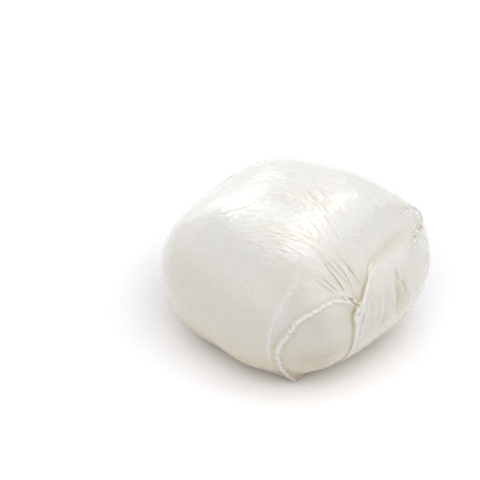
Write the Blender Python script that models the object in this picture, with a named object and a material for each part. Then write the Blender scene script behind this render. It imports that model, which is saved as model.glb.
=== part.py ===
"""A ball of fresh stretched-curd cheese of about 125 g, resting on its flattened foot.

The ball is a soft cushion whose plan is a rounded square lying cornerwise. Its skin is drawn to one side,
where the ball was pinched off: a thick flap laps over a deep crease, a tongue of curd lies folded against the
front, and the skin runs into the crease in pleats. The far corner of the flap is torn.

Metres, +Z up. The origin is under the middle of the ball, on the table. The pinched side faces -Y and +X.
Directions from the ball's heart are an azimuth, counted from +X towards +Y, and an elevation, in degrees.
"""

import bmesh
import bpy
import numpy as np

MM = 0.001

# The ball's heart, from which every direction and reach below is measured.
HEART = (-0.8 * MM, 0.5 * MM, 23.2 * MM)

# The cushion: half sizes from its heart, and how square its plan and its profile are (2 is round).
PLAN_HALF_SIZES = (31.4 * MM, 32.4 * MM)
PLAN_TURN = 50.0
PLAN_SQUARENESS = 3.3
CROWN_RISE = 21.7 * MM
CROWN_SQUARENESS = 2.1
BELLY_DROP = 26.4 * MM
BELLY_SQUARENESS = 1.9
FOOT_ROUNDING = 1.5 * MM

# Soft swellings of the cushion: azimuth, elevation, spread in degrees, height.
SWELLINGS = {
    "left flank": (180, 8, 34, -2.1 * MM),
    "left crown": (140, 42, 30, -0.6 * MM),
    "crown": (80, 62, 30, -0.6 * MM),
    "right crown": (38, 34, 26, 1.6 * MM),
    "torn corner": (6, 24, 11, 1.5 * MM),
    "flap": (-40, 0, 15, 0.7 * MM),
    "tongue": (-79, -6, 13, 1.8 * MM),
    "tongue toe": (-92, -46, 9, 1.9 * MM),
    "under the tongue": (-70, -38, 13, -0.9 * MM),
    "right flank": (0, -5, 22, -0.5 * MM),
    "left heel": (-120, -30, 18, 1.9 * MM),
    "left foot": (180, -42, 24, 3.1 * MM),
    "right foot": (2, -42, 24, 2.0 * MM),
    "back foot": (92, -42, 30, 3.4 * MM),
}

# The edge of the flap, from under the ball up the crease and over to the torn corner.
# Azimuth, elevation, depth of the crease, thickness of the flap at its edge.
FLAP_EDGE = [
    (-64.5, -48, 0.0 * MM, 0.0 * MM),
    (-65.5, -34, 0.7 * MM, 0.4 * MM),
    (-66.5, -20, 1.2 * MM, 0.6 * MM),
    (-66, -10, 1.6 * MM, 0.8 * MM),
    (-65, 0, 2.0 * MM, 1.0 * MM),
    (-65, 6, 2.4 * MM, 1.2 * MM),
    (-62, 10, 2.7 * MM, 1.3 * MM),
    (-58.5, 12.5, 2.6 * MM, 1.3 * MM),
    (-54.5, 17, 2.1 * MM, 1.2 * MM),
    (-50, 21.5, 1.5 * MM, 1.0 * MM),
    (-43.5, 24.5, 1.0 * MM, 0.8 * MM),
    (-34, 25.5, 0.8 * MM, 0.6 * MM),
    (-25, 25, 0.6 * MM, 0.5 * MM),
    (-14, 23.5, 0.4 * MM, 0.3 * MM),
    (-3, 21, 0.0 * MM, 0.0 * MM),
]
CREASE_WIDTH = 1.7 * MM
CREASE_SHOULDER = 5.0 * MM
SHOULDER_SHARE = 0.45
FLAP_REACH = 9.0 * MM

# The torn edge of the tongue, from the crease round to its toe.
# Azimuth, elevation, thickness of the tongue, height of the rolled lip on its edge.
TONGUE_EDGE = [
    (-64, 9, 0.1 * MM, 0.0 * MM),
    (-66, 13, 0.6 * MM, 0.3 * MM),
    (-71, 15.5, 0.9 * MM, 0.4 * MM),
    (-76.5, 15.5, 1.0 * MM, 0.4 * MM),
    (-83.5, 13, 1.0 * MM, 0.4 * MM),
    (-89, 10, 1.0 * MM, 0.4 * MM),
    (-93, 5, 1.0 * MM, 0.4 * MM),
    (-97, -2, 1.0 * MM, 0.5 * MM),
    (-98.5, -9, 1.0 * MM, 0.5 * MM),
    (-97.5, -18, 0.8 * MM, 0.5 * MM),
    (-95.5, -30, 0.6 * MM, 0.5 * MM),
    (-92.5, -41, 0.4 * MM, 0.4 * MM),
    (-89.5, -50, 0.0 * MM, 0.0 * MM),
]
LIP_WIDTH = 1.3 * MM
TONGUE_REACH = 7.0 * MM

# A fold of skin outside the tongue, and the long hollow down the flap: azimuth, elevation, height, width.
SKIN_FOLD = [
    (-88.5, 28, 0.0 * MM, 1.2 * MM),
    (-91.5, 22, 0.3 * MM, 1.2 * MM),
    (-95, 14, 0.4 * MM, 1.2 * MM),
    (-98.5, 6.5, 0.4 * MM, 1.2 * MM),
    (-100.5, -4, 0.4 * MM, 1.2 * MM),
    (-100.5, -13, 0.3 * MM, 1.2 * MM),
    (-97.5, -25, 0.0 * MM, 1.2 * MM),
]
FLAP_HOLLOW = [
    (-33, 17, 0.0 * MM, 1.0 * MM),
    (-34.5, 12, -0.5 * MM, 1.5 * MM),
    (-35.5, 5, -0.8 * MM, 2.2 * MM),
    (-35, -2, -0.8 * MM, 2.4 * MM),
    (-32, -9, -0.5 * MM, 2.0 * MM),
    (-30, -18, 0.0 * MM, 1.6 * MM),
]

# Pleats that fan out of the crease over the crown. The fan, how softly it ends, where the pleats start and
# how far they reach are in degrees.
PLEAT_ROOT = (-61, 5)
PLEAT_COUNT = 30
PLEAT_HEIGHT = 0.16 * MM
PLEAT_FAN = (72, 168)
PLEAT_FAN_SOFTNESS = 20
PLEAT_REACH = (22, 64)
PLEAT_START = PLEAT_REACH[0] / 3

# The grid is finer on the pinched side.
GRID_CUTS = 28
GRID_FOCUS = (-66, 8)
GRID_PULL = 2.1

CHEESE_COLOUR = (0.79, 0.775, 0.73, 1.0)
CHEESE_ROUGHNESS = 0.35


def direction(azimuth, elevation):
    """The unit vector, or rows of them, that points this way from the heart."""
    azimuth = np.radians(azimuth)
    elevation = np.radians(elevation)
    level = np.cos(elevation)
    return np.stack([np.cos(azimuth) * level, np.sin(azimuth) * level, np.sin(elevation)], -1)


def smooth_step(low, high, value):
    """0 below low, 1 above high and an even curve between them."""
    share = np.clip((value - low) / (high - low), 0, 1)
    return share * share * (3 - 2 * share)


def bell(value, width):
    return np.exp(-((value / width) ** 2))


def pulled_towards(focus, pull, ways):
    """Unit vectors drawn towards the focus, so that they stand closer together there."""
    along = np.clip(ways @ focus, -1, 1)
    across = ways - along[:, None] * focus
    across /= np.maximum(np.linalg.norm(across, axis=1), 1e-9)[:, None]
    angle = 2 * np.arctan(np.tan(np.arccos(along) / 2) / pull)
    return np.cos(angle)[:, None] * focus + np.sin(angle)[:, None] * across


def cushion(ways):
    """How far the plain cushion reaches from its heart in each direction."""
    turn = np.radians(PLAN_TURN)
    first = ways[:, 0] * np.cos(turn) + ways[:, 1] * np.sin(turn)
    second = ways[:, 1] * np.cos(turn) - ways[:, 0] * np.sin(turn)
    plan = np.abs(first / PLAN_HALF_SIZES[0]) ** PLAN_SQUARENESS
    plan = (plan + np.abs(second / PLAN_HALF_SIZES[1]) ** PLAN_SQUARENESS) ** (1 / PLAN_SQUARENESS)
    above = ways[:, 2] > 0
    rise = np.where(above, CROWN_RISE, BELLY_DROP)
    power = np.where(above, CROWN_SQUARENESS, BELLY_SQUARENESS)
    reach = (plan**power + np.abs(ways[:, 2] / rise) ** power) ** (-1 / power)
    for azimuth, elevation, spread, height in SWELLINGS.values():
        angle = np.degrees(np.arccos(np.clip(ways @ direction(azimuth, elevation), -1, 1)))
        reach += height * bell(angle, spread)
    return reach


def smooth_path(points, steps=16):
    """A Catmull-Rom curve through the points, every column carried along."""
    points = np.array(points, float)
    padded = np.vstack([2 * points[0] - points[1], points, 2 * points[-1] - points[-2]])
    share = np.linspace(0, 1, steps, endpoint=False)[:, None]
    spans = []
    for before, start, end, after in zip(padded, padded[1:], padded[2:], padded[3:]):
        bend = 2 * before - 5 * start + 4 * end - after
        twist = 3 * (start - end) + after - before
        spans.append(start + 0.5 * share * ((end - before) + share * (bend + share * twist)))
    return np.vstack(spans + [points[-1:]])


def across_path(places, points):
    """How far each place lies to the left of a path on the cushion, and the path's values nearest to it."""
    path = smooth_path(points)
    outward = direction(path[:, 0], path[:, 1])
    track = outward * cushion(outward)[:, None]
    left = np.cross(outward, np.gradient(track, axis=0))
    gaps = np.linalg.norm(places[:, None] - track[None], axis=2)
    nearest = gaps.argmin(axis=1)
    side = np.sign(((places - track[nearest]) * left[nearest]).sum(axis=1))
    return side * gaps.min(axis=1), path[nearest, 2:].T


def flap_relief(places):
    """The crease with its sloping shoulders, and the flap that stands up on its right."""
    left, (depth, thickness) = across_path(places, FLAP_EDGE)
    crease = bell(left, CREASE_WIDTH) + SHOULDER_SHARE * bell(left, CREASE_SHOULDER)
    flap = smooth_step(-CREASE_WIDTH, CREASE_WIDTH, -left) * np.exp(-np.maximum(-left, 0) / FLAP_REACH)
    return thickness * flap - depth * crease / (1 + SHOULDER_SHARE)


def tongue_relief(places):
    """The tongue on the left of its torn edge, and the lip rolled along it."""
    left, (thickness, lip) = across_path(places, TONGUE_EDGE)
    tongue = smooth_step(-LIP_WIDTH, LIP_WIDTH, left) * np.exp(-np.maximum(left, 0) / TONGUE_REACH)
    return thickness * tongue + lip * bell(left - LIP_WIDTH / 2, LIP_WIDTH)


def fold_relief(places):
    """The fold of skin beside the tongue, and the hollow in the flap."""
    relief = 0
    for points in (SKIN_FOLD, FLAP_HOLLOW):
        left, (height, width) = across_path(places, points)
        relief = relief + height * bell(left, width)
    return relief


def pleat_relief(ways):
    """Shallow pleats that fan out of the crease, up and over the crown."""
    root = direction(*PLEAT_ROOT)
    sideways = np.cross((0, 0, 1), root)
    sideways /= np.linalg.norm(sideways)
    upward = np.cross(root, sideways)
    fan = np.degrees(np.arctan2(ways @ upward, ways @ sideways))
    away = np.degrees(np.arccos(np.clip(ways @ root, -1, 1)))
    low, high = PLEAT_FAN
    inside = smooth_step(low, low + PLEAT_FAN_SOFTNESS, fan)
    inside *= smooth_step(-high, PLEAT_FAN_SOFTNESS - high, -fan)
    near, far = PLEAT_REACH
    along = smooth_step(PLEAT_START, near, away) * (1 - smooth_step(near, far, away))
    return PLEAT_HEIGHT * np.cos(np.radians(fan * PLEAT_COUNT)) * inside * along


def ball_surface(ways):
    """The place on the ball's skin in each direction from its heart."""
    reach = cushion(ways)
    places = ways * reach[:, None]
    reach += flap_relief(places) + tongue_relief(places) + fold_relief(places)
    reach += pleat_relief(ways)
    skin = ways * reach[:, None] + HEART
    height = skin[:, 2]
    rounded = (height + FOOT_ROUNDING) ** 2 / (4 * FOOT_ROUNDING)
    skin[:, 2] = np.where(height < FOOT_ROUNDING, np.where(height > -FOOT_ROUNDING, rounded, 0), height)
    return skin


def even_directions(vertices):
    """Unit vectors from a cube's grid, evened out so that cells near its corners aren't small."""
    cube = np.array([vertex.co for vertex in vertices], float)
    cube = np.tan(cube * np.pi / 4)
    return cube / np.linalg.norm(cube, axis=1)[:, None]


def cheese_material():
    material = bpy.data.materials.new("fresh_curd")
    material.use_nodes = True
    shader = material.node_tree.nodes["Principled BSDF"]
    shader.inputs["Base Color"].default_value = CHEESE_COLOUR
    shader.inputs["Roughness"].default_value = CHEESE_ROUGHNESS
    shader.inputs["Metallic"].default_value = 0.0
    return material


def build_ball(collection):
    shape = bmesh.new()
    bmesh.ops.create_cube(shape, size=2)
    bmesh.ops.subdivide_edges(shape, edges=shape.edges, cuts=GRID_CUTS - 1, use_grid_fill=True)
    ways = pulled_towards(direction(*GRID_FOCUS), GRID_PULL, even_directions(shape.verts))
    for vertex, place in zip(shape.verts, ball_surface(ways)):
        vertex.co = place
    foot = [face for face in shape.faces if all(vertex.co.z == 0 for vertex in face.verts)]
    bmesh.ops.dissolve_faces(shape, faces=foot)
    bmesh.ops.recalc_face_normals(shape, faces=shape.faces)
    mesh = bpy.data.meshes.new("mozzarella_ball")
    shape.to_mesh(mesh)
    shape.free()
    mesh.shade_smooth()
    mesh.materials.append(cheese_material())
    ball = bpy.data.objects.new("mozzarella_ball", mesh)
    collection.objects.link(ball)
    return ball


def main():
    for leftover in list(bpy.data.objects):
        bpy.data.objects.remove(leftover)
    collection = bpy.data.collections.new("mozzarella_ball")
    bpy.context.scene.collection.children.link(collection)
    build_ball(collection)


main()
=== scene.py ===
"""The looks of a ball of fresh stretched-curd cheese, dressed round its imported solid.

One mesh stands for the ball: the solid's own cushion, crease, tongue and flap at a finer grain, with the
fibres, skin layers, torn edges and small pits that the solid leaves out.

Metres, +Z up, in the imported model's frame. Directions from the ball's heart are an azimuth, counted from +X
towards +Y, and an elevation, both in degrees. A path's left is seen from outside, looking along the path.
"""

import itertools
import math

import bmesh
import bpy
import numpy as np
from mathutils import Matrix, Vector


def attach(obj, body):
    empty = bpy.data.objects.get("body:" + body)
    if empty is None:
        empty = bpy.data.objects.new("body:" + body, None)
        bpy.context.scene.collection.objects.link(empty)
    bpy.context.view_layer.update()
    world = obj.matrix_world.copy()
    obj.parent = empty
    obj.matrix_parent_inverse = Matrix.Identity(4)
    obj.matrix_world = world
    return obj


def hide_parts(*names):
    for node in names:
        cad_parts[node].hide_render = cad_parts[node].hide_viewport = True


MM = 0.001
NODE = "mozzarella_ball"

# The ball's heart, from which every direction and reach below is measured.
HEART = (-0.8 * MM, 0.5 * MM, 23.2 * MM)

# The cushion: half sizes from its heart, and how square its plan and its profile are (2 is round).
PLAN_HALF_SIZES = (31.4 * MM, 32.4 * MM)
PLAN_TURN = 50.0
PLAN_SQUARENESS = 3.3
CROWN_RISE = 21.7 * MM
CROWN_SQUARENESS = 2.1
BELLY_DROP = 26.4 * MM
BELLY_SQUARENESS = 1.9
FOOT_ROUNDING = 1.5 * MM

# Soft swellings of the cushion: azimuth, elevation, spread in degrees, height.
SWELLINGS = {
    "left flank": (180, 8, 34, -2.1 * MM),
    "left crown": (140, 42, 30, -0.6 * MM),
    "crown": (80, 62, 30, -0.6 * MM),
    "right crown": (38, 34, 26, 1.6 * MM),
    "torn corner": (6, 24, 11, 1.5 * MM),
    "flap": (-40, 0, 15, 0.7 * MM),
    "tongue": (-79, -6, 13, 1.8 * MM),
    "tongue toe": (-92, -46, 9, 1.9 * MM),
    "under the tongue": (-70, -38, 13, -0.9 * MM),
    "right flank": (0, -5, 22, -0.5 * MM),
    "left heel": (-120, -30, 18, 1.9 * MM),
    "left foot": (180, -42, 24, 3.1 * MM),
    "right foot": (2, -42, 24, 2.0 * MM),
    "back foot": (92, -42, 30, 3.4 * MM),
}

# The edge of the flap, from under the ball up the crease and over to the torn corner: azimuth, elevation,
# depth and width of the crease, depth of the valley round it, thickness of the flap at its edge.
FLAP_EDGE = [
    (-64.5, -48, 0.0 * MM, 0.4 * MM, 0.0 * MM, 0.0 * MM),
    (-65.5, -34, 0.06 * MM, 0.3 * MM, 0.15 * MM, 0.25 * MM),
    (-66.5, -20, 0.06 * MM, 0.3 * MM, 0.3 * MM, 0.4 * MM),
    (-66, -11, 0.08 * MM, 0.3 * MM, 0.35 * MM, 0.45 * MM),
    (-65.5, -4, 0.12 * MM, 0.4 * MM, 0.45 * MM, 0.5 * MM),
    (-65.2, 2, 0.2 * MM, 0.45 * MM, 0.55 * MM, 0.55 * MM),
    (-65.2, 6.5, 0.3 * MM, 0.45 * MM, 0.6 * MM, 0.55 * MM),
    (-62.2, 9.7, 0.36 * MM, 0.38 * MM, 0.6 * MM, 0.6 * MM),
    (-59, 12, 0.32 * MM, 0.34 * MM, 0.55 * MM, 0.65 * MM),
    (-56.5, 15.2, 0.28 * MM, 0.28 * MM, 0.45 * MM, 0.7 * MM),
    (-53.3, 18.3, 0.24 * MM, 0.26 * MM, 0.3 * MM, 0.7 * MM),
    (-50.4, 21.2, 0.16 * MM, 0.3 * MM, 0.25 * MM, 0.6 * MM),
    (-46.5, 23.4, 0.12 * MM, 0.6 * MM, 0.22 * MM, 0.55 * MM),
    (-42, 24.6, 0.1 * MM, 1.1 * MM, 0.22 * MM, 0.5 * MM),
    (-34, 25.2, 0.08 * MM, 1.4 * MM, 0.2 * MM, 0.45 * MM),
    (-25, 25.2, 0.08 * MM, 1.7 * MM, 0.25 * MM, 0.4 * MM),
    (-16, 24, 0.05 * MM, 2.0 * MM, 0.2 * MM, 0.25 * MM),
    (-3, 21, 0.0 * MM, 2.0 * MM, 0.0 * MM, 0.0 * MM),
]
VALLEY_WIDTH = 4.0 * MM
FLAP_REACH = 9.0 * MM
FLAP_WAVER = 0.2 * MM
FLAP_WAVE = 1.6 * MM
# For a crease of 1 mm, how far the edge leans over it, how much painted light lies on the edge and how
# much painted shade in the crease. Where the edge leans and where its painted light lies are in widths of
# the crease, to the left of its middle. A soft wedge of painted shade lies on the left of the crease.
FLAP_OVERHANG = 0.15 * MM
FLAP_LEAN_PLACE = -1.3
FLAP_PALE_PLACE = -2
FLAP_PALE = 2
CREASE_SHADE = 2.2
WEDGE_SHADE = 0.45
WEDGE_WIDTH = 2.2 * MM

# Thin threads run down the flap: azimuth, elevation, spread in degrees, strength.
STRAND_PATCHES = {
    "beside the crease": (-56, 0, 9, 0.8),
    "before the hollow": (-46, -2, 11, 1.0),
    "in the hollow": (-35, 2, 9, 0.9),
}
# Width, length and strength of the coarse threads and of the fine ones.
STRAND_SIZES = [(0.75 * MM, 9 * MM, 1.0), (0.45 * MM, 6 * MM, 0.6)]
STRAND_DEPTH = 0.12 * MM
STRAND_SLOPE = 8
STRAND_START = (0.4 * MM, 1.6 * MM)
# The grooves between the threads get painted shade and their tops painted light, full at this height.
STRAND_SHADE = 0.5
STRAND_PALE = 0.7
STRAND_FULL = 0.2 * MM

# The torn edge of the tongue, from the crease round to its toe: azimuth, elevation, thickness of the tongue,
# height of the rolled lip on its edge, width of that lip.
TONGUE_EDGE = [
    (-63.5, 10, 0.0 * MM, 0.0 * MM, 0.34 * MM),
    (-65.5, 12, 0.05 * MM, 0.15 * MM, 0.34 * MM),
    (-68.5, 14.6, 0.1 * MM, 0.24 * MM, 0.34 * MM),
    (-73, 15.8, 0.12 * MM, 0.28 * MM, 0.34 * MM),
    (-79, 14.6, 0.15 * MM, 0.3 * MM, 0.35 * MM),
    (-83.2, 12.8, 0.15 * MM, 0.3 * MM, 0.36 * MM),
    (-86.8, 11.2, 0.15 * MM, 0.32 * MM, 0.38 * MM),
    (-90.2, 8.9, 0.15 * MM, 0.33 * MM, 0.4 * MM),
    (-93, 4.3, 0.15 * MM, 0.34 * MM, 0.44 * MM),
    (-96.8, -2, 0.15 * MM, 0.36 * MM, 0.5 * MM),
    (-98.4, -8.5, 0.15 * MM, 0.4 * MM, 0.56 * MM),
    (-98, -15, 0.15 * MM, 0.44 * MM, 0.62 * MM),
    (-96, -26, 0.2 * MM, 0.5 * MM, 0.7 * MM),
    (-94.5, -35, 0.3 * MM, 0.5 * MM, 0.9 * MM),
    (-92, -41.5, 0.4 * MM, 0.45 * MM, 1.2 * MM),
    (-89.5, -46, 0.35 * MM, 0.4 * MM, 1.3 * MM),
    (-86, -53, 0.0 * MM, 0.0 * MM, 1.3 * MM),
]
TONGUE_REACH = 7.0 * MM
LIP_BEAD = 0.9 * MM
LIP_GRAIN = 1.5
LIP_GRAIN_SIZE = (0.6 * LIP_BEAD, 0.8 * MM)
# Bands along the lip, each by its place to the left of the edge and its breadth, in widths of the lip.
LIP_RISE = (-1, 0.6)
LIP_CREST = (1, 1.1)
LIP_PAINTED_LIGHT = (1, 1)
LIP_GROOVE = (3.2, 1.2)
LIP_OUTSIDE = (-1.6, 1.1)
# The groove's depth, the painted shade in the groove, the painted shadow outside the lip and the painted
# light on its crest.
LIP_GROOVE_DEPTH = 0.1
LIP_GROOVE_SHADE = 0.5
LIP_OUTSIDE_SHADE = 0.56
LIP_PALE = 2.0

# Edges of thin skin layers: azimuth, elevation, step up on the left of the path, softness of the step.
SKIN_EDGES = {
    "fold beside the tongue": [
        (-87, 31, 0.0 * MM, 0.6 * MM),
        (-89.5, 26, -0.05 * MM, 0.5 * MM),
        (-93, 18.5, -0.1 * MM, 0.4 * MM),
        (-96.3, 12, -0.12 * MM, 0.35 * MM),
        (-99, 5, -0.12 * MM, 0.3 * MM),
        (-100.4, -3, -0.12 * MM, 0.3 * MM),
        (-101, -9, -0.1 * MM, 0.3 * MM),
        (-99, -20, -0.05 * MM, 0.35 * MM),
        (-96.5, -28, 0.0 * MM, 0.4 * MM),
    ],
    "layer over the crown": [
        (-57.5, 52, 0.0 * MM, 0.4 * MM),
        (-61, 61, -0.12 * MM, 0.35 * MM),
        (-79, 77.5, -0.16 * MM, 0.35 * MM),
        (-140, 84, -0.16 * MM, 0.35 * MM),
        (-173, 77, -0.16 * MM, 0.35 * MM),
        (-165.5, 67, -0.14 * MM, 0.35 * MM),
        (-157, 58, -0.1 * MM, 0.35 * MM),
        (-161.5, 47, -0.05 * MM, 0.3 * MM),
        (-169.5, 37.5, -0.03 * MM, 0.4 * MM),
        (-176, 31, 0.0 * MM, 0.5 * MM),
    ],
}
SKIN_REACH = 6.0 * MM
# Painted shade along the steps.
SKIN_EDGE_SHADE = 0.875

# Ridges and grooves along paths: azimuth, elevation, height, width.
FOLDS = {
    "roll of the fold": [
        (-87.5, 29, 0.0 * MM, 0.8 * MM),
        (-90.5, 24, 0.13 * MM, 0.8 * MM),
        (-95, 15.5, 0.18 * MM, 0.8 * MM),
        (-99.2, 6.5, 0.18 * MM, 0.75 * MM),
        (-101.2, -4, 0.16 * MM, 0.7 * MM),
        (-101, -15, 0.12 * MM, 0.6 * MM),
        (-97.5, -26, 0.0 * MM, 0.5 * MM),
    ],
    "second roll of the fold": [
        (-92, 18, 0.0 * MM, 0.35 * MM),
        (-95, 11.5, 0.12 * MM, 0.35 * MM),
        (-97.5, 5, 0.12 * MM, 0.35 * MM),
        (-98.8, 0, 0.0 * MM, 0.35 * MM),
    ],
    "first layer of the flap": [
        (-57.5, 11, 0.0 * MM, 0.35 * MM),
        (-60, 7.5, 0.18 * MM, 0.35 * MM),
        (-63, 2.5, 0.2 * MM, 0.35 * MM),
        (-63.8, -4, 0.2 * MM, 0.35 * MM),
        (-65, -11, 0.15 * MM, 0.35 * MM),
        (-65.5, -21, 0.0 * MM, 0.35 * MM),
    ],
    "groove between the layers": [
        (-57.5, 8.2, 0.0 * MM, 0.25 * MM),
        (-59.6, 4.5, -0.16 * MM, 0.25 * MM),
        (-61.8, -1.5, -0.18 * MM, 0.25 * MM),
        (-62.3, -8.5, -0.15 * MM, 0.25 * MM),
        (-63, -17, 0.0 * MM, 0.25 * MM),
    ],
    "second layer of the flap": [
        (-55, 11.5, 0.0 * MM, 0.45 * MM),
        (-57, 7, 0.12 * MM, 0.45 * MM),
        (-60, 1, 0.14 * MM, 0.45 * MM),
        (-60.8, -5, 0.12 * MM, 0.45 * MM),
        (-61, -14, 0.0 * MM, 0.45 * MM),
    ],
    "lower edge of the tongue": [
        (-68, -2.5, 0.0 * MM, 0.35 * MM),
        (-72.6, -4.7, -0.12 * MM, 0.35 * MM),
        (-76.8, -6.1, -0.14 * MM, 0.35 * MM),
        (-80.8, -6.7, -0.1 * MM, 0.35 * MM),
        (-85, -8.2, 0.0 * MM, 0.35 * MM),
    ],
    "hollow in the flap": [
        (-33, 17, 0.0 * MM, 0.6 * MM),
        (-34.5, 12.8, -0.2 * MM, 0.9 * MM),
        (-35.5, 7.5, -0.28 * MM, 1.6 * MM),
        (-35.5, 1.5, -0.3 * MM, 2.1 * MM),
        (-34, -5.5, -0.25 * MM, 2.2 * MM),
        (-30.5, -15, 0.0 * MM, 1.6 * MM),
    ],
    "upper wrinkle in the hollow": [
        (-33.6, 17, 0.0 * MM, 0.25 * MM),
        (-33.8, 13.5, -0.2 * MM, 0.28 * MM),
        (-33.2, 9.5, -0.1 * MM, 0.28 * MM),
        (-32, 8.7, -0.25 * MM, 0.35 * MM),
        (-31.2, 6.5, -0.28 * MM, 0.4 * MM),
        (-30.2, 3.5, -0.2 * MM, 0.4 * MM),
        (-28, -3, -0.08 * MM, 0.5 * MM),
        (-26, -10, 0.0 * MM, 0.5 * MM),
    ],
    "inner wrinkle in the hollow": [
        (-35, 9, 0.0 * MM, 0.3 * MM),
        (-36, 5, -0.2 * MM, 0.28 * MM),
        (-37, -1, -0.22 * MM, 0.28 * MM),
        (-37.5, -7, 0.0 * MM, 0.3 * MM),
    ],
    "rim of the hollow": [
        (-33.5, 16, 0.0 * MM, 0.35 * MM),
        (-36.8, 12.8, 0.12 * MM, 0.35 * MM),
        (-39.2, 9, 0.15 * MM, 0.35 * MM),
        (-40, 3.5, 0.15 * MM, 0.35 * MM),
        (-40.4, -3, 0.12 * MM, 0.35 * MM),
        (-37, -12, 0.0 * MM, 0.35 * MM),
    ],
    "scratch above the crease": [
        (-47.2, 41, 0.0 * MM, 0.25 * MM),
        (-42.8, 39.4, 0.1 * MM, 0.25 * MM),
        (-37.2, 38, 0.0 * MM, 0.25 * MM),
    ],
    "strand across the pit": [
        (-72, 16.5, 0.0 * MM, 0.2 * MM),
        (-69.2, 17.2, 0.2 * MM, 0.22 * MM),
        (-66.4, 14.2, 0.28 * MM, 0.22 * MM),
        (-64, 10.5, 0.3 * MM, 0.22 * MM),
        (-62.5, 8, 0.0 * MM, 0.22 * MM),
    ],
    "second strand across the pit": [
        (-67.5, 18, 0.0 * MM, 0.2 * MM),
        (-64.6, 14.8, 0.25 * MM, 0.2 * MM),
        (-62, 11.5, 0.3 * MM, 0.2 * MM),
        (-59.5, 9.5, 0.0 * MM, 0.2 * MM),
    ],
    "outer thread of the right side": [
        (-1.4, 16, 0.0 * MM, 0.42 * MM),
        (-2.6, 13.2, 0.32 * MM, 0.42 * MM),
        (-5, 8.5, 0.36 * MM, 0.42 * MM),
        (-6.8, 2, 0.25 * MM, 0.42 * MM),
        (-9, -4, 0.0 * MM, 0.42 * MM),
    ],
    "inner thread of the right side": [
        (-4, 17, 0.0 * MM, 0.42 * MM),
        (-6, 12.8, 0.3 * MM, 0.42 * MM),
        (-8.8, 7, 0.32 * MM, 0.42 * MM),
        (-10.6, 1.5, 0.0 * MM, 0.42 * MM),
    ],
    "third thread of the right side": [
        (-7, 17.5, 0.0 * MM, 0.42 * MM),
        (-9.8, 12, 0.24 * MM, 0.42 * MM),
        (-12, 6.5, 0.0 * MM, 0.42 * MM),
    ],
}

FOLD_UNEVENNESS = 0.3
FOLD_GRAIN_SIZE = (1.5 * MM, 2 * MM)
# Painted shade in the grooves, and painted light on the ridges, full at this height.
FOLD_SHADE = 1.0
FOLD_PALE_HEIGHT = 0.35 * MM

# Pleats that run into the crease, each a groove with a ridge on both sides: azimuth, elevation, depth, width.
PLEATS = {
    "first pleat": [
        (-63.8, 33.4, 0.0 * MM, 0.24 * MM),
        (-61.6, 30.2, 0.2 * MM, 0.24 * MM),
        (-60.2, 25.8, 0.32 * MM, 0.24 * MM),
        (-58.8, 21.4, 0.28 * MM, 0.24 * MM),
        (-57.4, 17, 0.0 * MM, 0.24 * MM),
    ],
    "second pleat": [
        (-69.4, 33.6, 0.0 * MM, 0.24 * MM),
        (-66.8, 29.6, 0.16 * MM, 0.24 * MM),
        (-64.4, 25.2, 0.22 * MM, 0.24 * MM),
        (-63, 20.6, 0.2 * MM, 0.24 * MM),
        (-63, 15.4, 0.2 * MM, 0.24 * MM),
        (-61.2, 12.2, 0.0 * MM, 0.24 * MM),
    ],
    "third pleat": [
        (-72.8, 34.7, 0.0 * MM, 0.24 * MM),
        (-70, 29, 0.18 * MM, 0.24 * MM),
        (-67, 24.6, 0.22 * MM, 0.24 * MM),
        (-65, 20.4, 0.15 * MM, 0.24 * MM),
        (-64.8, 16.2, 0.0 * MM, 0.24 * MM),
    ],
    "main pleat": [
        (-91, 44.3, 0.0 * MM, 0.24 * MM),
        (-84, 42.1, 0.06 * MM, 0.24 * MM),
        (-78.8, 40.3, 0.09 * MM, 0.24 * MM),
        (-75, 36.7, 0.12 * MM, 0.24 * MM),
        (-74.2, 33, 0.14 * MM, 0.24 * MM),
        (-72.4, 28.4, 0.3 * MM, 0.24 * MM),
        (-70, 23.8, 0.36 * MM, 0.24 * MM),
        (-68.2, 19.8, 0.34 * MM, 0.24 * MM),
        (-67.2, 15.6, 0.0 * MM, 0.24 * MM),
    ],
    "fifth pleat": [
        (-82, 25.3, 0.0 * MM, 0.24 * MM),
        (-79.4, 23.6, 0.15 * MM, 0.24 * MM),
        (-76, 20.8, 0.24 * MM, 0.24 * MM),
        (-71.5, 17, 0.0 * MM, 0.24 * MM),
    ],
    "sixth pleat": [
        (-80, 27.2, 0.0 * MM, 0.24 * MM),
        (-77.2, 25.4, 0.16 * MM, 0.24 * MM),
        (-73.4, 21.4, 0.26 * MM, 0.24 * MM),
        (-70, 17.5, 0.0 * MM, 0.24 * MM),
    ],
    "seventh pleat": [
        (-84, 30, 0.0 * MM, 0.28 * MM),
        (-81.4, 29.2, 0.1 * MM, 0.28 * MM),
        (-78.6, 28, 0.12 * MM, 0.28 * MM),
        (-75, 25, 0.0 * MM, 0.28 * MM),
    ],
    "arc over the brow": [
        (-118, 44, 0.0 * MM, 0.24 * MM),
        (-110.6, 45.5, 0.06 * MM, 0.24 * MM),
        (-100.6, 45.9, 0.08 * MM, 0.24 * MM),
        (-91, 44.3, 0.06 * MM, 0.24 * MM),
        (-85, 42.5, 0.0 * MM, 0.24 * MM),
    ],
    "arc above it": [
        (-101, 51.5, 0.0 * MM, 0.24 * MM),
        (-94.8, 50.7, 0.07 * MM, 0.24 * MM),
        (-85.4, 47.9, 0.09 * MM, 0.24 * MM),
        (-78.8, 44.9, 0.09 * MM, 0.24 * MM),
        (-72, 41, 0.0 * MM, 0.24 * MM),
    ],
}
PLEAT_DEPTH = 0.7
PLEAT_RIDGE = 0.7
PLEAT_RIDGE_PLACE = 2
# Painted shade in the grooves, full at this depth.
PLEAT_SHADE = 0.35
PLEAT_FULL = 0.3 * MM

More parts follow.
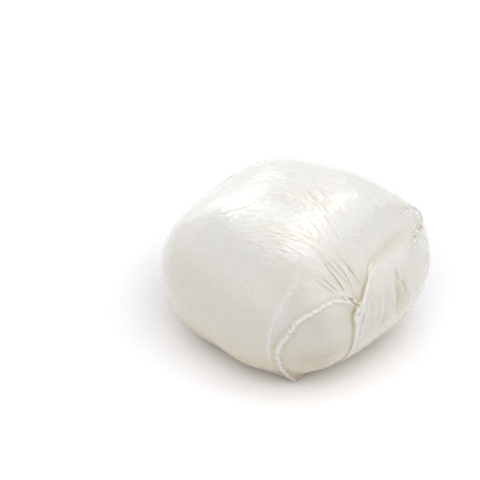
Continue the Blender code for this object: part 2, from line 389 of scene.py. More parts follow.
# Fibres run in arcs from the crease's root, each family to its own second pole. Its patches say where it is
# strong, first its fibres, then its finest threads, which are too fine for the mesh: azimuth, elevation,
# spread in degrees, strength.
FIBRE_ROOT = (-62, 4)
FIBRE_FAMILIES = {
    "skin": (
        (-161, -11),
        {
            "pleats": (-66, 27, 12, 1.2),
            "crown front": (-88, 52, 15, 0.6),
            "crown right": (35, 58, 16, 0.6),
            "brow": (-115, 42, 14, 0.5),
            "left crown": (140, 60, 18, 0.5),
            "back": (110, 20, 40, 0.6),
            "everywhere": (0, 0, 400, 0.16),
        },
        {
            "crown right": (30, 62, 15, 0.5),
            "crown front": (-95, 50, 14, 0.6),
            "pleats": (-68, 26, 12, 0.3),
            "everywhere": (0, 0, 400, 0.08),
        },
    ),
    "crown": (
        (120, 10),
        {
            "between the windows": (-32, 75, 12, 1.7),
            "below the windows": (-47, 63, 9, 1.2),
            "front of the crown": (-76, 54, 8, 0.8),
        },
        {
            "between the windows": (-32, 75, 14, 1.0),
            "front of the crown": (-74, 54, 9, 0.7),
        },
    ),
}
STREAK_DEPTH = 0.36 * MM
STREAK_CELLS = (24, 3)
FIBRE_BALL_RADIUS = 32.5 * MM
LEAST_RADIAN = 0.5 * MM
FIBRE_DEPTH = 0.075 * MM
# Painted shade in the fibres' grooves, full at this depth.
FIBRE_SHADE = 0.35
FIBRE_FULL = 0.25 * MM
# The usual width of a fibre and how far it varies, in octaves. Octaves of fibres are made from a first count
# of them in a radian.
FIBRE_WAVE = 0.85 * MM
FIBRE_WAVE_SPREAD = 0.9
FIBRE_OCTAVES = 9
FIRST_FIBRE_COUNT = 4
# A fibre's length, how far it wavers, and the size of that waver across and along, all in its own widths.
FIBRE_LENGTH = 11
FIBRE_WAVER = 0.5
FIBRE_WAVER_SIZE = (5, 9)
# How round the strands are, and the depth, level and width of the grooves between them.
STRAND_ROUNDNESS = 0.8
GROOVE_DEPTH = 1.6
GROOVE_LEVEL = -0.05
GROOVE_WIDTH = 0.13
# Fibres come and go: mean and swing of their strength, cells across and along in a radian, least and most.
FIBRE_PATCHINESS = (0.75, 0.6, 5, 2.5, 0.15, 1.6)

# Painted shade, darker and warmer towards the foot: strength, height over which it fades.
FOOT_PAINTED_SHADES = [(0.44, 46 * MM), (0.45, 18 * MM)]
# Painted shadow darkens the lowest curd, up to this height and by this share, and lies in patches of
# painted shade: azimuth, elevation, spread in degrees, strength.
SHADOW_HEIGHT = 13 * MM
SHADOW_SHARE = 0.9
SHADOW_PATCHES = {
    "under the tongue": (-80, -18, 13, 0.55),
    "above the tongue": (-93, 20, 9, 0.12),
}

# Small lumps: azimuth, elevation, spread in degrees, height.
LUMPS = {
    "torn corner top": (2, 26, 2.4, 0.45 * MM),
    "torn corner tip": (9, 19, 2.4, 0.55 * MM),
    "torn corner back": (14, 16, 2.6, 0.4 * MM),
    "bright bead": (-11, 18.5, 1.2, 0.35 * MM),
    "crumb in the crease": (-63, 10.2, 0.7, 0.4 * MM),
    "second crumb": (-64.2, 11.5, 0.7, 0.35 * MM),
    "third crumb": (-60.6, 10.2, 0.8, 0.35 * MM),
}

# Small pits in the smooth skin: azimuth, elevation.
PITS = [
    (-126, 25),
    (-133, 20),
    (-127.5, 22.5),
    (-116, 20.5),
    (-112, 18),
    (-113, 12),
    (-117, 17),
    (-105.5, 22.5),
    (-102, 22),
]
PIT_SPREAD = 0.9
PIT_DEPTH = 0.14 * MM

# The skin's own unevenness, height, size and seed, and how its shade varies, strength, size and seed.
SKIN_GRAINS = [(0.07 * MM, 7 * MM, 90), (0.045 * MM, 1.4 * MM, 91), (0.035 * MM, 0.9 * MM, 93)]
SKIN_MOTTLE = (0.06, 2.5 * MM, 92)

# Torn, crumbly edges: azimuth, elevation, height of the crumbs, width of the torn band.
TORN_EDGES = {
    "torn corner": [
        (-4, 29, 0.1 * MM, 0.6 * MM),
        (3, 26.8, 0.7 * MM, 0.9 * MM),
        (9.4, 20, 1.0 * MM, 1.2 * MM),
        (3.8, 18, 0.9 * MM, 1.2 * MM),
        (-5, 19.6, 0.8 * MM, 1.1 * MM),
        (-12, 17.8, 0.7 * MM, 0.9 * MM),
        (-19, 16, 0.1 * MM, 0.5 * MM),
    ],
    "crease": [
        (-68, 16.5, 0.2 * MM, 0.6 * MM),
        (-64, 12, 0.85 * MM, 1.1 * MM),
        (-62.5, 8, 0.6 * MM, 1.0 * MM),
        (-64, 3, 0.1 * MM, 0.6 * MM),
    ],
    "fold beside the tongue": [
        (-87, 31, 0.0 * MM, 0.6 * MM),
        (-90.5, 24, 0.12 * MM, 0.9 * MM),
        (-95, 15.5, 0.16 * MM, 1.0 * MM),
        (-98.6, 6.5, 0.16 * MM, 1.1 * MM),
        (-100.4, -4, 0.12 * MM, 1.0 * MM),
        (-99, -16, 0.0 * MM, 0.8 * MM),
    ],
}
CRUMB = 0.85 * MM
FINE_CRUMB_SHARE = 0.4
# Painted shade between the crumbs and painted light on their tops, full at this height.
CRUMB_SHADE = 0.8
CRUMB_PALE = 1.1
CRUMB_FULL = 0.5 * MM

# The grid is finer on the pinched side, and finer still along the folds.
GRID_CUTS = 128
GRID_FOCUS = (-66, 8)
GRID_PULL = 1.6
GATHER = 0.45
GATHER_WIDTH = 2.2 * MM

# Seeds, which give each noise a pattern of its own. Where a noise has several layers, they count on from it.
SEEDS = {
    "flap edge": 3,
    "lip beads": 5,
    "lip grain": 6,
    "folds": 9,
    "fibres": 10,
    "strands": 21,
    "fibre waver": 40,
    "crumbs": 60,
    "fine crumbs": 70,
    "fibre patches": 77,
}
NOISE_GAIN = 1.4
# The noise's hash: factors of a cell's place, of the seed and of the axis, then rounds of a shift and a
# factor.
HASH_PLACE = (374761393, 668265263, 1440662683)
HASH_SEED = 974634777
HASH_AXIS = 3266489917
HASH_ROUNDS = ((15, 2246822519), (13, 3266489917), (16, 1))
HASH_MOST = 0xFFFFFFFF


def direction(azimuth, elevation):
    """The unit vector, or rows of them, that points this way from the heart."""
    azimuth = np.radians(azimuth)
    elevation = np.radians(elevation)
    level = np.cos(elevation)
    return np.stack([np.cos(azimuth) * level, np.sin(azimuth) * level, np.sin(elevation)], -1)


def smooth_step(low, high, value):
    """0 below low, 1 above high and an even curve between them."""
    share = np.clip((value - low) / (high - low), 0, 1)
    return share * share * (3 - 2 * share)


def bell(value, width):
    """1 at nought, and an even fall to both sides."""
    return np.exp(-((value / width) ** 2))


def band(left, width, place=0, breadth=1):
    """A bell beside a path, by its place to the left and its breadth, both in widths."""
    return bell(left - place * width, breadth * width)


def noise(points, seed=0):
    """Gradient noise, about -1 to 1, at rows of points of two or three columns."""
    cell = np.floor(points).astype(np.int64)
    inside = points - cell
    fade = inside**3 * (inside * (inside * 6 - 15) + 10)
    total = np.zeros(len(points))
    for corner in itertools.product((0, 1), repeat=points.shape[1]):
        at = cell + corner
        weight = np.ones(len(points))
        slope = np.zeros(len(points))
        for axis in range(points.shape[1]):
            mixed = at @ np.array(HASH_PLACE[: points.shape[1]])
            mixed = (mixed + seed * HASH_SEED + axis * HASH_AXIS) & HASH_MOST
            for shift, factor in HASH_ROUNDS:
                mixed = ((mixed ^ (mixed >> shift)) * factor) & HASH_MOST
            slope += (mixed / (HASH_MOST // 2) - 1) * (inside[:, axis] - corner[axis])
            weight *= fade[:, axis] if corner[axis] else 1 - fade[:, axis]
        total += weight * slope
    return total * NOISE_GAIN


def spot(ways, azimuth, elevation, spread):
    """A bell of so many degrees round one direction."""
    angle = np.degrees(np.arccos(np.clip(ways @ direction(azimuth, elevation), -1, 1)))
    return bell(angle, spread)


def patched(ways, patches):
    """How strong the patches are together in each direction."""
    return sum(spot(ways, *patch[:3]) * patch[3] for patch in patches.values())


def pulled_towards(focus, pull, ways):
    """Unit vectors drawn towards the focus, so that they stand closer together there."""
    along = np.clip(ways @ focus, -1, 1)
    across = ways - along[:, None] * focus
    across /= np.maximum(np.linalg.norm(across, axis=1), 1e-9)[:, None]
    angle = 2 * np.arctan(np.tan(np.arccos(along) / 2) / pull)
    return np.cos(angle)[:, None] * focus + np.sin(angle)[:, None] * across


def cushion(ways):
    """How far the plain cushion reaches from its heart in each direction."""
    turn = np.radians(PLAN_TURN)
    first = ways[:, 0] * np.cos(turn) + ways[:, 1] * np.sin(turn)
    second = ways[:, 1] * np.cos(turn) - ways[:, 0] * np.sin(turn)
    plan = np.abs(first / PLAN_HALF_SIZES[0]) ** PLAN_SQUARENESS
    plan = (plan + np.abs(second / PLAN_HALF_SIZES[1]) ** PLAN_SQUARENESS) ** (1 / PLAN_SQUARENESS)
    above = ways[:, 2] > 0
    rise = np.where(above, CROWN_RISE, BELLY_DROP)
    power = np.where(above, CROWN_SQUARENESS, BELLY_SQUARENESS)
    reach = (plan**power + np.abs(ways[:, 2] / rise) ** power) ** (-1 / power)
    for azimuth, elevation, spread, height in SWELLINGS.values():
        reach += height * spot(ways, azimuth, elevation, spread)
    return reach


def smooth_path(points, steps=24):
    """A Catmull-Rom curve through the points, every column carried along."""
    points = np.array(points, float)
    padded = np.vstack([2 * points[0] - points[1], points, 2 * points[-1] - points[-2]])
    share = np.linspace(0, 1, steps, endpoint=False)[:, None]
    spans = []
    for before, start, end, after in zip(padded, padded[1:], padded[2:], padded[3:]):
        bend = 2 * before - 5 * start + 4 * end - after
        twist = 3 * (start - end) + after - before
        spans.append(start + 0.5 * share * ((end - before) + share * (bend + share * twist)))
    return np.vstack(spans + [points[-1:]])


class SurfacePath:
    """A path on the cushion, and where each place of the ball lies beside it."""

    def __init__(self, points):
        path = smooth_path(points)
        self.values = path[:, 2:]
        self.outward = direction(path[:, 0], path[:, 1])
        self.track = self.outward * cushion(self.outward)[:, None]
        self.forward = np.gradient(self.track, axis=0)
        self.forward /= np.linalg.norm(self.forward, axis=1)[:, None]
        self.left = np.cross(self.outward, self.forward)
        self.left /= np.linalg.norm(self.left, axis=1)[:, None]
        steps = np.linalg.norm(np.diff(self.track, axis=0), axis=1)
        self.length = np.concatenate([[0], np.cumsum(steps)])

    def beside(self, places, block=8192):
        """Each place's distance to the left of the path and along it, and the path's nearest point."""
        nearest = np.empty(len(places), int)
        level = (self.track**2).sum(axis=1)
        for start in range(0, len(places), block):
            part = places[start : start + block]
            nearest[start : start + block] = (level - 2 * part @ self.track.T).argmin(axis=1)
        offset = places - self.track[nearest]
        left = (offset * self.left[nearest]).sum(axis=1)
        ahead = (offset * self.forward[nearest]).sum(axis=1)
        beyond = (nearest == 0) | (nearest == len(self.track) - 1)
        left = np.where(beyond, np.copysign(np.linalg.norm(offset, axis=1), left), left)
        return left, self.length[nearest] + np.where(beyond, 0, ahead), nearest


def beside_paths(family, places):
    """For each path of a family, every place's distance to its left and along it, and its values there."""
    for points in family.values():
        path = SurfacePath(points)
        left, along, nearest = path.beside(places)
        yield left, along, path.values[nearest].T


def gathered(ways, path):
    """Unit vectors drawn in towards a path from both sides, which makes the grid finer along it."""
    places = ways * cushion(ways)[:, None]
    distance, along, nearest = path.beside(places)
    aside = ((places - path.track[nearest]) * path.left[nearest]).sum(axis=1)
    move = -aside * GATHER * bell(distance, GATHER_WIDTH)
    places = places + move[:, None] * path.left[nearest]
    return places / np.linalg.norm(places, axis=1)[:, None]


def fibre_lines(ways, end):
    """Which fibre each direction lies on and how far along it, in radians, and a radian's size in metres."""
    root, end = direction(*FIBRE_ROOT), direction(*end)
    east = np.cross((0, 0, 1), root)
    east /= np.linalg.norm(east)
    north = np.cross(root, east)

    def flattened(way):
        return (way @ east + 1j * (way @ north)) / (1 + way @ root)

    place = flattened(ways)
    pole = flattened(end)
    ratio = place / (pole - place) * pole
    turned = ratio * np.exp(-1j * np.radians(90))
    from_root = np.linalg.norm(ways - root, axis=1)
    from_end = np.linalg.norm(ways - end, axis=1)
    metres = FIBRE_BALL_RADIUS * from_root * from_end / np.linalg.norm(root - end)
    return np.angle(turned), np.log(np.maximum(np.abs(ratio), 1e-6)), np.maximum(metres, LEAST_RADIAN)


def fibre_relief(ways):
    """Long fibres that run out of the crease: rounded strands with fine grooves between them."""
    mean, swing, cells_across, cells_along, least, most = FIBRE_PATCHINESS
    total = np.zeros(len(ways))
    for end, patches, finest in FIBRE_FAMILIES.values():
        across, along, metres = fibre_lines(ways, end)
        relief = np.zeros(len(ways))
        for octave in range(FIBRE_OCTAVES):
            count = FIRST_FIBRE_COUNT * 2**octave
            weight = bell(np.log2(metres / count / FIBRE_WAVE), FIBRE_WAVE_SPREAD)
            cell = np.stack([across, along], -1) * count
            waver = FIBRE_WAVER * noise(cell / FIBRE_WAVER_SIZE, SEEDS["fibre waver"] + octave)
            strand = np.stack([across * count + waver, along * count / FIBRE_LENGTH], -1)
            field = noise(strand, SEEDS["fibres"] + octave)
            groove = bell(field - GROOVE_LEVEL, GROOVE_WIDTH)
            relief += weight * (STRAND_ROUNDNESS * field - GROOVE_DEPTH * groove)
        cell = np.stack([across * cells_across, along * cells_along], -1)
        patchy = np.clip(mean + swing * noise(cell, SEEDS["fibre patches"]), least, most)
        total += FIBRE_DEPTH * relief * patched(ways, patches) * patchy
    return total


def strand_relief(places, left):
    """Thin threads down the flap, to the right of the crease."""
    height = places[:, 2]
    across = np.arctan2(places[:, 1], places[:, 0]) * FIBRE_BALL_RADIUS - height / STRAND_SLOPE
    field = np.zeros(len(places))
    for index, (width, length, strength) in enumerate(STRAND_SIZES):
        cell = np.stack([across / width, height / length], -1)
        field += strength * noise(cell, SEEDS["strands"] + index)
    here = patched(places / np.linalg.norm(places, axis=1)[:, None], STRAND_PATCHES)
    return STRAND_DEPTH * field * here * smooth_step(*STRAND_START, -left)


# Each of the next functions gives the height that it adds to the skin, its painted shade and its painted
# light.


def flap_relief(places):
    """The flap and its crease, and besides, the sideways lean of the flap's edge."""
    path = SurfacePath(FLAP_EDGE)
    left, along, nearest = path.beside(places)
    depth, width, valley, thickness = path.values[nearest].T
    waver = noise(np.stack([along / FLAP_WAVE, along * 0], -1), SEEDS["flap edge"])
    left = left + FLAP_WAVER * waver * smooth_step(0, MM, depth)
    raised = smooth_step(-width, width / 2, -left) * np.exp(-np.maximum(-left, 0) / FLAP_REACH)
    strands = strand_relief(places, left)
    relief = thickness * raised - depth * band(left, width) - valley * bell(left, VALLEY_WIDTH) + strands
    wedge = WEDGE_SHADE * smooth_step(0, WEDGE_WIDTH / 3, left) * bell(left, WEDGE_WIDTH)
    # Painted shade in the crease, the wedge on its left and between the threads; painted light on the edge
    # and on the threads' tops.
    shade = CREASE_SHADE * (band(left, width) + wedge) * depth / MM
    shade += STRAND_SHADE * np.clip(-strands / STRAND_FULL, 0, 1)
    pale = FLAP_PALE * band(left, width, FLAP_PALE_PLACE) * depth / MM
    pale += STRAND_PALE * np.clip(strands / STRAND_FULL, 0, 1)
    lean = FLAP_OVERHANG * band(left, width, FLAP_LEAN_PLACE) * depth / MM
    return relief, shade, pale, lean[:, None] * path.left[nearest]


def tongue_relief(places):
    """The tongue, with the beaded lip along its torn edge."""
    path = SurfacePath(TONGUE_EDGE)
    left, along, nearest = path.beside(places)
    thickness, lip, width = path.values[nearest].T
    bead = noise(np.stack([along / LIP_BEAD, along * 0], -1), SEEDS["lip beads"])
    left = left + bead * lip
    cell = np.stack([along, left], -1) / LIP_GRAIN_SIZE
    grain = 1 + LIP_GRAIN * noise(cell, SEEDS["lip grain"])
    rise = smooth_step(LIP_RISE[0] * width, LIP_RISE[1] * width, left)
    raised = rise * np.exp(-np.maximum(left, 0) / TONGUE_REACH)
    groove = band(left, width, *LIP_GROOVE)
    relief = thickness * raised + lip * (grain * band(left, width, *LIP_CREST) - LIP_GROOVE_DEPTH * groove)
    # Painted shade in the groove inside the lip and painted shadow outside it; painted light on the lip's
    # crest.
    shade = (LIP_GROOVE_SHADE * groove + LIP_OUTSIDE_SHADE * band(left, width, *LIP_OUTSIDE)) * lip / MM
    return relief, shade, LIP_PALE * grain * band(left, width, *LIP_PAINTED_LIGHT) * lip / MM


def layer_relief(places):
    """The low steps at the edges of thin skin layers."""
    total = np.zeros((3, len(places)))
    for left, along, (step, softness) in beside_paths(SKIN_EDGES, places):
        total[0] += step * smooth_step(-softness, softness, left) * np.exp(-np.maximum(left, 0) / SKIN_REACH)
        # Painted shade along each step.
        total[1] += SKIN_EDGE_SHADE * bell(left, softness) * np.abs(step) / MM
    return total


def fold_relief(places):
    """Uneven ridges, with painted light, and grooves, with painted shade."""
    total = np.zeros((3, len(places)))
    for left, along, (height, width) in beside_paths(FOLDS, places):
        cell = np.stack([along, left], -1) / FOLD_GRAIN_SIZE
        uneven = 1 + FOLD_UNEVENNESS * noise(cell, SEEDS["folds"])
        total[0] += height * uneven * bell(left, width)
        total[1] += FOLD_SHADE * np.maximum(-height, 0) / MM * bell(left, width)
        total[2] += np.maximum(height, 0) / FOLD_PALE_HEIGHT * uneven * bell(left, width)
    return total


def pleat_relief(places):
    """The pleats, each a groove between two ridges."""
    total = np.zeros((3, len(places)))
    for left, along, (depth, width) in beside_paths(PLEATS, places):
        ridges = band(left, width, PLEAT_RIDGE_PLACE) + band(left, width, -PLEAT_RIDGE_PLACE)
        total[0] += PLEAT_DEPTH * depth * (PLEAT_RIDGE * ridges - bell(left, width))
        # Painted shade along each groove.
        total[1] += PLEAT_SHADE * depth / PLEAT_FULL * bell(left, width)
    return total


def crumb_relief(places):
    """Crumbs along the torn edges, with painted light on top and painted shade between."""
    total = np.zeros((3, len(places)))
    for index, (left, along, (height, width)) in enumerate(beside_paths(TORN_EDGES, places)):
        crumbs = noise(places / CRUMB, SEEDS["crumbs"] + index)
        crumbs += FINE_CRUMB_SHARE * noise(places / (CRUMB / 2), SEEDS["fine crumbs"] + index)
        total[0] += height * crumbs * bell(left, width)
        total[1] += CRUMB_SHADE * np.clip(-crumbs, 0, 1) * bell(left, width) * height / CRUMB_FULL
        total[2] += CRUMB_PALE * np.clip(crumbs, 0, 1) * bell(left, width) * height / CRUMB_FULL
    return total


def small_relief(ways, places):
    """The lumps, pits and grain of the skin, which add height alone."""
    relief = sum(height * noise(places / size, seed) for height, size, seed in SKIN_GRAINS)
    for azimuth, elevation, spread, height in LUMPS.values():
        relief += height * spot(ways, azimuth, elevation, spread)
    for azimuth, elevation in PITS:
        relief -= PIT_DEPTH * spot(ways, azimuth, elevation, PIT_SPREAD)
    return relief


def rested(skin):
    """The skin with what would reach below the table flattened on it, by a soft bend."""
    height = skin[:, 2]
    bend = np.clip(height + FOOT_ROUNDING, 0, 2 * FOOT_ROUNDING) ** 2 / (4 * FOOT_ROUNDING)
    skin[:, 2] = np.where(height < FOOT_ROUNDING, bend, height)
    return skin


def ball_surface(ways):
    """The place on the ball's skin in each direction, its painted shade, deepest in the folds, and its
    painted shadow low down.
    """
    reach = cushion(ways)
    places = ways * reach[:, None]
    *flap, lean = flap_relief(places)
    total = np.array(flap)
    for feature in (tongue_relief, layer_relief, fold_relief, pleat_relief, crumb_relief):
        total += feature(places)
    relief, shade, pale = total
    fibres = fibre_relief(ways)
    relief += fibres + small_relief(ways, places)
    skin = rested(ways * (reach + relief)[:, None] + lean + HEART)
    mottle, size, seed = SKIN_MOTTLE
    # Painted shade in the fibres' grooves, and a random mottle of the curd's own tone.
    shade += FIBRE_SHADE * np.clip(-fibres / FIBRE_FULL, 0, 1) + mottle * noise(places / size, seed)
    # Painted shade towards the foot, less where painted light lies.
    for strength, fade in FOOT_PAINTED_SHADES:
        shade += strength * (1 - smooth_step(0, fade, skin[:, 2])) / (1 + pale)
    # Painted shadow low down and in patches.
    painted_shadow = SHADOW_SHARE * (1 - smooth_step(0, SHADOW_HEIGHT, skin[:, 2])) + patched(ways, SHADOW_PATCHES)
    # Painted shade moves a point from the smooth curd towards the painted shade colour, painted light towards
    # the palest end.
    shade = CURD_SHADE + (1 - CURD_SHADE) * shade - CURD_SHADE * pale
    return skin, np.clip(shade, 0, 1), np.clip(painted_shadow / (1 + pale), 0, 1)


def even_directions(vertices):
    """Unit vectors from a cube's grid, evened out so that cells near its corners aren't small."""
    cube = np.array([vertex.co for vertex in vertices], float)
    cube = np.tan(cube * np.pi / 4)
    return cube / np.linalg.norm(cube, axis=1)[:, None]


# Painted light on raised ridges, lips and crumbs is palest, then the smooth skin, then the painted shade of
# the folds and the foot, and the painted shadow low down darkens them all. The shade of the smooth skin is
# where its colour stands between the other two.
PAINTED_LIGHT_COLOUR = (0.73, 0.72, 0.685, 1)
CURD_COLOUR = (0.652, 0.643, 0.624, 1)
PAINTED_SHADE_COLOUR = (0.53, 0.462, 0.29, 1)
PAINTED_SHADOW_COLOUR = (0.4, 0.335, 0.215, 1)
CURD_SHADE = 0.3
CHEESE_FINISH = {
    "Roughness": 0.26,
    "Subsurface Weight": 0.7,
    "Subsurface Radius": (1.0, 0.9, 0.78),
    "Subsurface Scale": 1.8 * MM,
    "Coat Weight": 0.7,
    "Coat Roughness": 0.06,
}


def cheese_material():
    """Curd with painted light on its ridges, painted shade in its folds and painted shadow low down, moist,
    and streaked by threads too fine for the mesh.
    """
    material = bpy.data.materials.new("fresh_curd")
    material.use_nodes = True
    tree = material.node_tree
    shader = tree.nodes["Principled BSDF"]

    def node(kind, **inputs):
        made = tree.nodes.new(kind)
        for name, value in inputs.items():
            made.inputs[name].default_value = value
        return made

    def attribute(name):
        made = node("ShaderNodeAttribute")
        made.attribute_name = name
        return made.outputs

    # The ramp runs from painted light through the smooth curd to painted shade.
    ramp = node("ShaderNodeValToRGB")
    ramp.color_ramp.elements.new(CURD_SHADE).color = CURD_COLOUR
    ramp.color_ramp.elements[0].color = PAINTED_LIGHT_COLOUR
    ramp.color_ramp.elements[-1].color = PAINTED_SHADE_COLOUR
    tree.links.new(attribute("shade")["Fac"], ramp.inputs["Fac"])
    # Painted shadow darkens the curd low down and in patches.
    curd_or_shadow = node("ShaderNodeMixRGB", Color2=PAINTED_SHADOW_COLOUR)
    tree.links.new(attribute("painted_shadow")["Fac"], curd_or_shadow.inputs["Fac"])
    tree.links.new(ramp.outputs["Color"], curd_or_shadow.inputs["Color1"])
    tree.links.new(curd_or_shadow.outputs["Color"], shader.inputs["Base Color"])

    skin = None
    for name in FIBRE_FAMILIES:
        grain = node("ShaderNodeTexNoise", Scale=1.0, Detail=1.5, Roughness=0.5)
        tree.links.new(attribute("threads_" + name)["Vector"], grain.inputs["Vector"])
        bump = node("ShaderNodeBump", Distance=STREAK_DEPTH)
        tree.links.new(grain.outputs["Fac"], bump.inputs["Height"])
        tree.links.new(attribute("streaks_" + name)["Fac"], bump.inputs["Strength"])
        if skin:
            tree.links.new(skin, bump.inputs["Normal"])
        skin = bump.outputs["Normal"]
    tree.links.new(skin, shader.inputs["Normal"])
    tree.links.new(skin, shader.inputs["Coat Normal"])
    for name, value in CHEESE_FINISH.items():
        shader.inputs[name].default_value = value
    return material


def add_attribute(mesh, name, values):
    """Give the mesh's points a number each, or a vector each."""
    kind, field = ("FLOAT", "value") if values.ndim == 1 else ("FLOAT_VECTOR", "vector")
    mesh.attributes.new(name, kind, "POINT").data.foreach_set(field, values.astype(np.float32).ravel())


def build_ball():
    """The whole skin of the ball, as one closed mesh."""
    shape = bmesh.new()
    bmesh.ops.create_cube(shape, size=2)
    bmesh.ops.subdivide_edges(shape, edges=shape.edges, cuts=GRID_CUTS - 1, use_grid_fill=True)
    ways = pulled_towards(direction(*GRID_FOCUS), GRID_PULL, even_directions(shape.verts))
    for points in (FLAP_EDGE, TONGUE_EDGE, TORN_EDGES["torn corner"]):
        ways = gathered(ways, SurfacePath(points))
    skin, shade, painted_shadow = ball_surface(ways)
    bmesh.ops.recalc_face_normals(shape, faces=shape.faces)
    mesh = bpy.data.meshes.new("cheese_skin")
    shape.to_mesh(mesh)
    shape.free()
    mesh.vertices.foreach_set("co", skin.astype(np.float32).ravel())
    add_attribute(mesh, "shade", shade)
    add_attribute(mesh, "painted_shadow", painted_shadow)
    cells_across, cells_along = STREAK_CELLS
    for name, (end, patches, finest) in FIBRE_FAMILIES.items():
        across, along, metres = fibre_lines(ways, end)
        threads = [np.cos(across) * cells_across, np.sin(across) * cells_across, along * cells_along]
        add_attribute(mesh, "threads_" + name, np.stack(threads, -1))
        add_attribute(mesh, "streaks_" + name, np.clip(patched(ways, finest), 0, 1))
    mesh.update()
    mesh.shade_smooth()
    mesh.materials.append(cheese_material())
    ball = bpy.data.objects.new("cheese_skin", mesh)
    bpy.context.scene.collection.objects.link(ball)
    return ball


# The camera: its height above the horizon, how far it stands, how wide it sees at the ball, and where the
# ball's middle falls in the frame, as shares of that width from the frame's middle.
CAMERA_ELEVATION = 34.0
CAMERA_DISTANCE = 0.58
FRAME_WIDTH = 126.4 * MM
AIM_HEIGHT = 21.3 * MM
BALL_IN_FRAME = (0.1165, -0.0545)
SENSOR = 36.0
CLIP_START = 10 * MM

# Soft light from all round the studio: azimuth, elevation, how narrow it is, strength.
EVEN_GLOW = 0.26
GLOW = {
    "ceiling": (0, 90, 4, 0.25),
    "back left wall": (135, 15, 6, 0.71),
    "left wall": (180, 15, 6, 0.5),
    "front left wall": (-135, 15, 6, 1.18),
    "right wall": (0, 15, 6, 1.22),
    "right fill": (0, 50, 6, 0.14),
    "front left fill": (-135, 50, 6, 0.4),
    "front right fill": (-45, 50, 6, 1.42),
}
# Lamps: azimuth, elevation, distance, width, height, radiance. Windows only shine on the wet skin, the soft
# back lamp only lights it, and the rest do both.
WINDOWS = {
    "low left window": (107, 24, 1.0, 0.36, 0.34, 1.15),
    "high left window": (116, 42, 1.0, 0.3, 0.25, 1.8),
    "gap window": (82, 30, 1.0, 0.12, 0.4, 0.6),
    "right window": (72, 43, 1.0, 0.15, 0.36, 2.0),
    "upper left window": (93, 61, 1.0, 0.36, 0.25, 1.9),
    "upper right window": (68, 62, 1.0, 0.25, 0.2, 2.6),
    "crown window": (90, 76, 1.0, 0.4, 0.2, 3.2),
}
SOFT_LAMPS = {
    "soft back lamp": (90, 18, 1.1, 1.54, 0.66, 1.2),
}
BALL_LAMPS = {
    "back lamp": (90, 18, 1.0, 1.4, 0.6, 0.57),
    "top lamp": (90, 65, 1.0, 1.2, 1.0, 1.06),
}
FLOOR_LAMPS = {
    "front floor lamp": (-90, 35, 1.0, 0.8, 0.8, 2.2),
    "back floor lamp": (98, 43, 1.0, 1.05, 0.72, 0.35),
}
CONTRAST_GAMMA = 0.75
FLOOR_FINISH = {
    "Base Color": (0.883, 0.883, 0.906, 1),
    "Roughness": 0.7,
    "Specular IOR Level": 0.0,
}
FLOOR_HALF_SIZE = 3.0
FLOOR_GAP = 0.2 * MM


def build_camera():
    """The camera, which looks level along +Y and down by its elevation."""
    tilt = math.radians(CAMERA_ELEVATION)
    back = Vector((0, -math.cos(tilt), math.sin(tilt)))
    up = Vector((0, math.sin(tilt), math.cos(tilt)))
    right = Vector((1, 0, 0))
    data = bpy.data.cameras.new("camera")
    data.sensor_width = SENSOR
    data.lens = SENSOR * CAMERA_DISTANCE / FRAME_WIDTH
    data.clip_start = CLIP_START
    camera = bpy.data.objects.new("camera", data)
    middle = Vector((0, 0, AIM_HEIGHT))
    aside = -right * BALL_IN_FRAME[0] * FRAME_WIDTH - up * BALL_IN_FRAME[1] * FRAME_WIDTH
    camera.location = middle + back * CAMERA_DISTANCE + aside
    camera.rotation_euler = (math.pi / 2 - tilt, 0, 0)
    bpy.context.scene.collection.objects.link(camera)
    bpy.context.scene.camera = camera


def build_world():
    """An even glow with soft lobes of light from the walls and the ceiling."""
    world = bpy.data.worlds.new("studio")
    world.use_nodes = True
    tree = world.node_tree
    way = tree.nodes.new("ShaderNodeTexCoord").outputs["Generated"]
    total = None
    for azimuth, elevation, narrowness, strength in GLOW.values():
        facing = tree.nodes.new("ShaderNodeVectorMath")
        facing.operation = "DOT_PRODUCT"
        facing.inputs[1].default_value = direction(azimuth, elevation)
        tree.links.new(way, facing.inputs[0])
        value = facing.outputs["Value"]
        for operation, number in (("MAXIMUM", 0), ("POWER", narrowness), ("MULTIPLY", strength)):
            step = tree.nodes.new("ShaderNodeMath")
            step.operation = operation
            step.inputs[1].default_value = number
            tree.links.new(value, step.inputs[0])
            value = step.outputs[0]
        added = tree.nodes.new("ShaderNodeMath")
        added.inputs[0].default_value = EVEN_GLOW
        if total:
            tree.links.new(total, added.inputs[0])
        tree.links.new(value, added.inputs[1])
        total = added.outputs[0]
    background = tree.nodes["Background"]
    background.inputs["Color"].default_value = (1, 1, 1, 1)
    tree.links.new(total, background.inputs["Strength"])
    bpy.context.scene.world = world


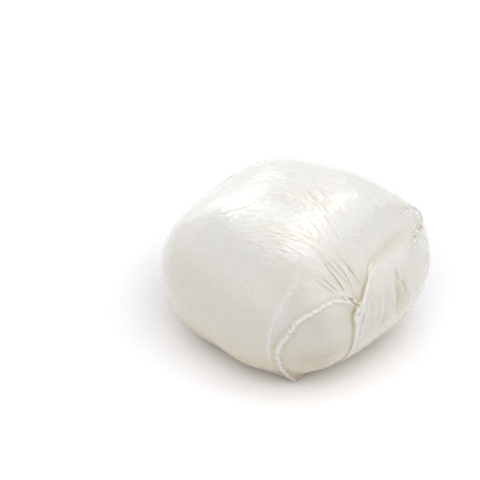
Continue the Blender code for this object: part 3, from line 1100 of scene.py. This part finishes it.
def softbox(name, azimuth, elevation, distance, width, height, radiance):
    """A rectangular lamp that faces the middle of the scene."""
    data = bpy.data.lights.new(name, "AREA")
    data.shape = "RECTANGLE"
    data.size, data.size_y = width, height
    data.energy = radiance * math.pi * width * height
    lamp = bpy.data.objects.new(name, data)
    way = Vector(direction(azimuth, elevation))
    lamp.location = way * distance
    lamp.rotation_mode = "QUATERNION"
    lamp.rotation_quaternion = way.to_track_quat("Z", "Y")
    bpy.context.scene.collection.objects.link(lamp)
    return lamp


def build_lights(ball, floor):
    """The glow, the windows, and the lamps that light the ball or the floor alone."""
    build_world()
    for name, place in WINDOWS.items():
        softbox(name, *place).visible_diffuse = False
    uses = ((SOFT_LAMPS, ball, False), (BALL_LAMPS, ball, True), (FLOOR_LAMPS, floor, True))
    for lamps, lit, glossy in uses:
        receivers = bpy.data.collections.new("lit_" + lit.name)
        receivers.objects.link(lit)
        for name, place in lamps.items():
            lamp = softbox(name, *place)
            lamp.light_linking.receiver_collection = receivers
            lamp.visible_glossy = glossy


def build_floor():
    """A pale, dull floor just under the ball's foot."""
    mesh = bpy.data.meshes.new("floor")
    shape = bmesh.new()
    bmesh.ops.create_grid(shape, x_segments=1, y_segments=1, size=FLOOR_HALF_SIZE)
    shape.to_mesh(mesh)
    shape.free()
    material = bpy.data.materials.new("pale_floor")
    material.use_nodes = True
    shader = material.node_tree.nodes["Principled BSDF"]
    for name, value in FLOOR_FINISH.items():
        shader.inputs[name].default_value = value
    mesh.materials.append(material)
    floor = bpy.data.objects.new("floor", mesh)
    floor.location.z = -FLOOR_GAP
    bpy.context.scene.collection.objects.link(floor)
    return floor


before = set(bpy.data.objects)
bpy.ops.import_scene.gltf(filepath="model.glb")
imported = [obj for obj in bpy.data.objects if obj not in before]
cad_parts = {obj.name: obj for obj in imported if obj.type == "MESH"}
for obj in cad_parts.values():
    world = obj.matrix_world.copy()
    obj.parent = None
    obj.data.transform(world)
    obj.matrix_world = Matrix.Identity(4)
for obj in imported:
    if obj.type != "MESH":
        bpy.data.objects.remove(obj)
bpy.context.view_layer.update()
bpy.context.scene.view_settings.view_transform = "Standard"
bpy.context.scene.view_settings.gamma = CONTRAST_GAMMA
ball = build_ball()
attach(ball, "root")
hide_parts(NODE)
build_camera()
build_lights(ball, build_floor())
